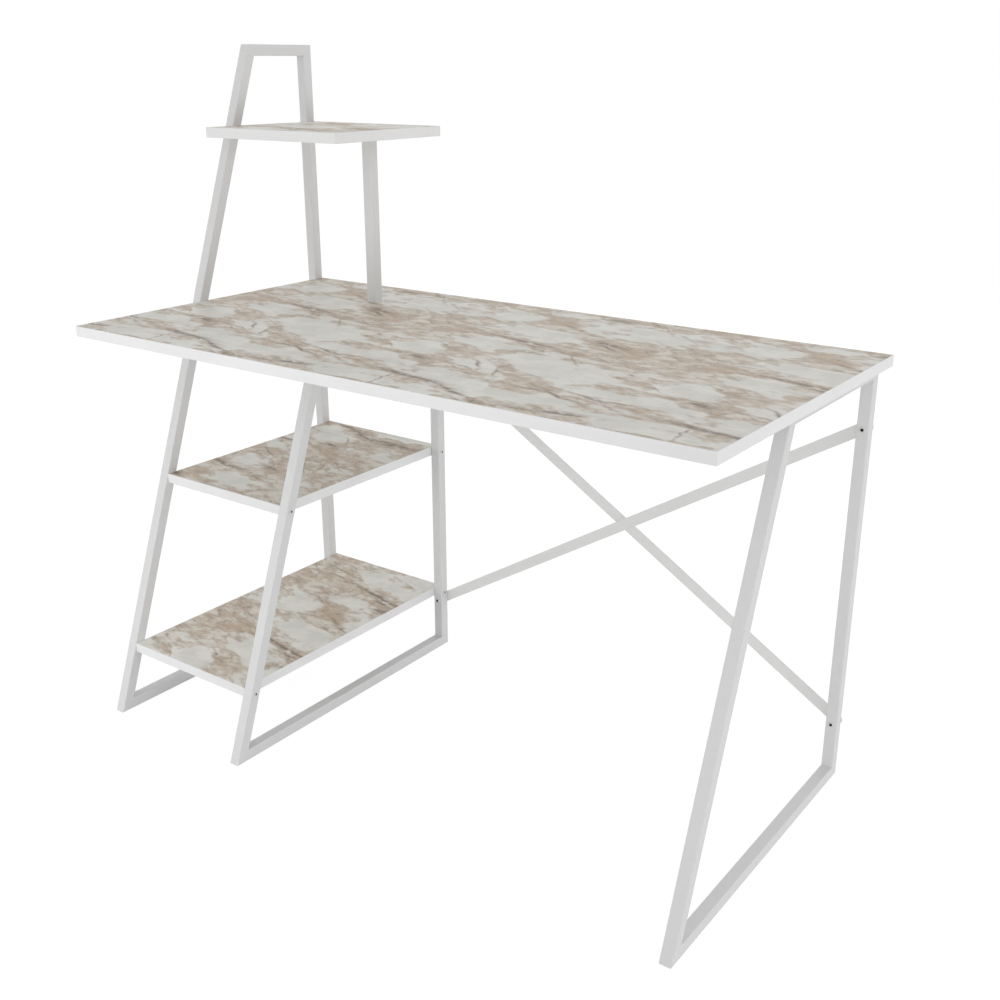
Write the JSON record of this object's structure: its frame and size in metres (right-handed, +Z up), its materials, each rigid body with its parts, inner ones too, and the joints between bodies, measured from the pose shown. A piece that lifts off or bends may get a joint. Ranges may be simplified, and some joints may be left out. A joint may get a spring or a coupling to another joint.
{
  "type": "computer desk",
  "caption": "Free-standing computer desk with open steel tube frames, two shelves beside the knee space and a small raised shelf.",
  "frame": {"origin": "middle of the bounding box, on the floor", "axes": "+X to the right along the desktop for someone sitting at the desk, +Y to the back, +Z up"},
  "size_m": [1.2222, 0.615, 1.2],
  "materials": {
    "frame_paint": "satin white powder coat",
    "brace_paint": "satin white powder coat",
    "screw_paint": "white coated, dark sockets",
    "zinc_steel": "zinc plated",
    "insert_steel": "plain steel",
    "stone_print": "satin melamine with a marble print",
    "edge_band": "satin white edge band",
    "board_backing": "white melamine",
    "board_core": "raw particle board"
  },
  "bodies": {
    "root": {"tall_frame_front_leg": "frame_paint", "tall_frame_rear_leg": "frame_paint", "tall_frame_floor_bar": "frame_paint", "tall_frame_top_bar": "frame_paint", "inner_frame_front_leg": "frame_paint", "inner_frame_rear_leg": "frame_paint", "inner_frame_floor_bar": "frame_paint", "inner_frame_top_bar": "frame_paint", "right_frame_front_leg": "frame_paint", "right_frame_rear_leg": "frame_paint", "right_frame_floor_bar": "frame_paint", "right_frame_top_bar": "frame_paint", "desktop_core": "board_core", "desktop_facing": "stone_print", "desktop_backing": "board_backing", "desktop_front_band": "edge_band", "desktop_rear_band": "edge_band", "desktop_left_band": "edge_band", "desktop_right_band": "edge_band", "middle_shelf_core": "board_core", "middle_shelf_facing": "stone_print", "middle_shelf_backing": "board_backing", "middle_shelf_front_band": "edge_band", "middle_shelf_rear_band": "edge_band", "middle_shelf_left_band": "edge_band", "middle_shelf_right_band": "edge_band", "lower_shelf_core": "board_core", "lower_shelf_facing": "stone_print", "lower_shelf_backing": "board_backing", "lower_shelf_front_band": "edge_band", "lower_shelf_rear_band": "edge_band", "lower_shelf_left_band": "edge_band", "lower_shelf_right_band": "edge_band", "upper_shelf_core": "board_core", "upper_shelf_facing": "stone_print", "upper_shelf_backing": "board_backing", "upper_shelf_front_band": "edge_band", "upper_shelf_rear_band": "edge_band", "upper_shelf_left_band": "edge_band", "upper_shelf_right_band": "edge_band", "shelf_post": "frame_paint", "rising_brace": "brace_paint", "falling_brace": "brace_paint", "post_inserts": "insert_steel", "post_stud": "insert_steel", "post_screw": "screw_paint", "tall_frame_board_screws": "screw_paint", "inner_frame_shelf_screws": "screw_paint", "desktop_screws": "screw_paint", "brace_bolts": "screw_paint", "brace_nuts": "zinc_steel", "brace_washers": "zinc_steel", "brace_spacers": "zinc_steel"}
  },
  "joints": []
}
